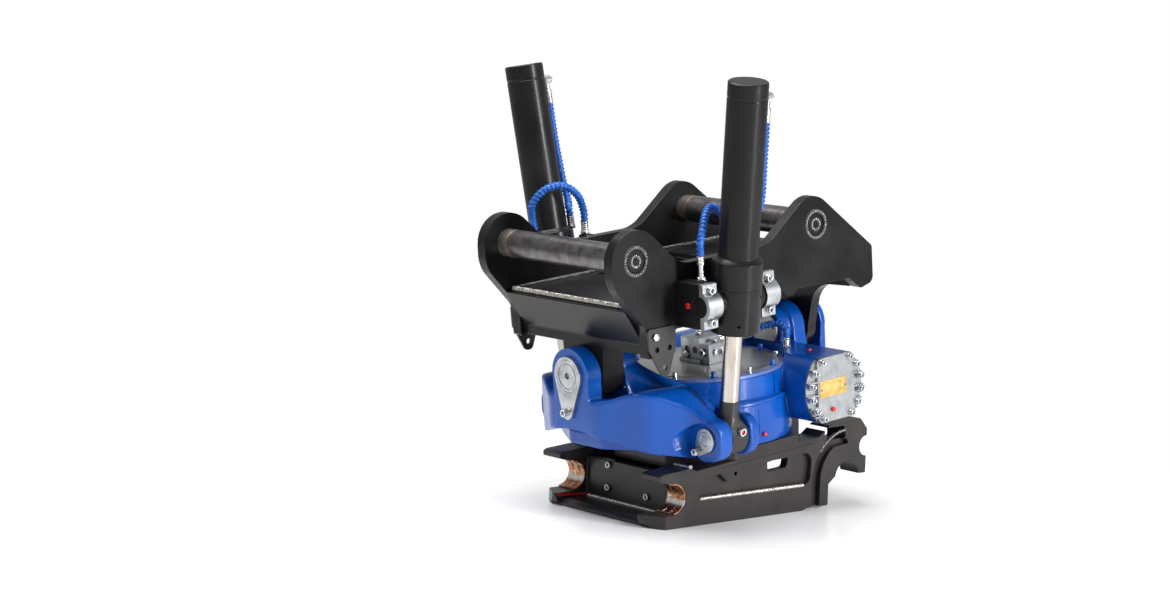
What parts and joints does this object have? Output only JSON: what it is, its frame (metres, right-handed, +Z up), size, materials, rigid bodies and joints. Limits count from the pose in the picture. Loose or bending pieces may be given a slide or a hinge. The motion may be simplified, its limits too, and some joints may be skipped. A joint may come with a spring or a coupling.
{
  "type": "excavator tilt rotator",
  "caption": "Excavator tilt rotator: a pin-on hitch tilted by two slanted rams over a worm-driven rotor, with a hooked tool coupler below.",
  "frame": {"origin": "under the crossing of the slewing and tilt axes, on the bottom face of the coupler's centre web, level with the floor", "axes": "+Z up, square to the coupler's base; +Y rearwards, from the coupler's front jaws to its rear jaws; +X to the side of the near ram"},
  "size_m": [0.9324, 0.935, 1.1097],
  "materials": {
    "charcoal_paint": "charcoal grey machine paint, half gloss",
    "blue_paint": "deep blue machine paint, gloss",
    "bare_steel": "turned steel, oiled",
    "chrome": "hard chromed and ground",
    "zinc_plate": "bright zinc plated",
    "cast_aluminium": "cast and machined",
    "bronze": "machined bronze",
    "black_paint": "black paint, satin",
    "hose_blue": "blue rubber hydraulic hose"
  },
  "bodies": {
    "coupler": {"coupler_side_near": "charcoal_paint", "coupler_side_far": "charcoal_paint", "jaw_liner_near": "bronze", "jaw_liner_far": "bronze", "coupler_front_wall": "charcoal_paint", "coupler_centre_web": "charcoal_paint", "coupler_lock_beam": "charcoal_paint", "slew_deck": "charcoal_paint", "worm_wheel": "bronze", "swivel_core": "bare_steel", "lock_barrel": "black_paint"},
    "lock": {"lock_crosshead": "black_paint"},
    "rotor": {"rotor_housing": "blue_paint", "top_disc": "bare_steel", "worm_cover_near": "cast_aluminium", "worm_cover_far": "cast_aluminium", "slew_motor": "black_paint", "worm_bearing_near": "bare_steel", "worm_bearing_far": "bare_steel", "slew_bearing": "bronze", "tilt_pin_front": "bare_steel", "tilt_pin_rear": "bare_steel", "tilt_lock_front": "zinc_plate", "tilt_lock_rear": "zinc_plate", "clevis_pin_near": "bare_steel", "clevis_pin_far": "bare_steel", "clevis_lock_near": "zinc_plate", "clevis_lock_far": "zinc_plate", "valve_block": "cast_aluminium", "valve_hose": "hose_blue", "return_elbow": "zinc_plate"},
    "worm": {"worm_shaft": "bare_steel"},
    "hitch": {"hitch_plate_near": "charcoal_paint", "hitch_plate_far": "charcoal_paint", "hitch_front_box": "charcoal_paint", "hitch_rear_box": "charcoal_paint", "front_pin": "bare_steel", "rear_pin": "bare_steel", "front_lug_bush": "bronze", "rear_lug_bush": "bronze", "trunnion_cap_front_near": "cast_aluminium", "trunnion_cap_rear_near": "cast_aluminium", "trunnion_cap_front_far": "cast_aluminium", "trunnion_cap_rear_far": "cast_aluminium", "corner_bracket_near": "black_paint", "corner_bracket_far": "black_paint", "feed_hose_near": "hose_blue", "feed_hose_far": "hose_blue"},
    "ram_near": {"ram_barrel_near": "charcoal_paint", "trunnion_collar_near": "charcoal_paint", "ram_banjo_near": "zinc_plate", "ram_hose_near": "hose_blue"},
    "rod_near": {"ram_rod_near": "chrome", "rod_end_near": "black_paint"},
    "ram_far": {"ram_barrel_far": "charcoal_paint", "trunnion_collar_far": "charcoal_paint", "ram_banjo_far": "zinc_plate", "ram_hose_far": "hose_blue"},
    "rod_far": {"ram_rod_far": "chrome", "rod_end_far": "black_paint"}
  },
  "joints": [
    {"name": "slew", "type": "hinge", "parent": "coupler", "child": "rotor", "pos_m": [0, 0, 0.4113], "axis": [0, -0.1145, 0.9934], "continuous": true},
    {"name": "tilt", "type": "hinge", "parent": "rotor", "child": "hitch", "pos_m": [0, 0, 0.4113], "axis": [0, 0.9934, 0.1145], "range_deg": [-30, 30]},
    {"name": "ram_swing_near", "type": "hinge", "parent": "hitch", "child": "ram_near", "pos_m": [0.339, -0.21403, 0.57385], "axis": [0, 0.9934, 0.1145], "range_deg": [-10.1, 10.1]},
    {"name": "ram_stroke_near", "type": "slide", "parent": "ram_near", "child": "rod_near", "axis": [-0.1475, 0.1133, -0.9826], "range_m": [-0.163, 0.163]},
    {"name": "ram_swing_far", "type": "hinge", "parent": "hitch", "child": "ram_far", "pos_m": [-0.339, -0.21403, 0.57385], "axis": [0, 0.9934, 0.1145], "range_deg": [-10.1, 10.1]},
    {"name": "ram_stroke_far", "type": "slide", "parent": "ram_far", "child": "rod_far", "axis": [0.1475, 0.1133, -0.9826], "range_m": [-0.163, 0.163]},
    {"name": "worm_spin", "type": "hinge", "parent": "rotor", "child": "worm", "pos_m": [0, 0.20865, 0.32161], "axis": [1, 0, 0], "continuous": true},
    {"name": "lock_slide", "type": "slide", "parent": "coupler", "child": "lock", "axis": [0, 1, 0], "range_m": [0, 0.105]}
  ],
  "couplings": [
    {"joint": "ram_swing_near", "follows": "tilt", "ratio": -0.3347},
    {"joint": "ram_stroke_near", "follows": "tilt", "m_per_rad": -0.3103},
    {"joint": "ram_swing_far", "follows": "tilt", "ratio": -0.3347},
    {"joint": "ram_stroke_far", "follows": "tilt", "m_per_rad": 0.3103},
    {"joint": "worm_spin", "follows": "slew", "ratio": -48}
  ]
}
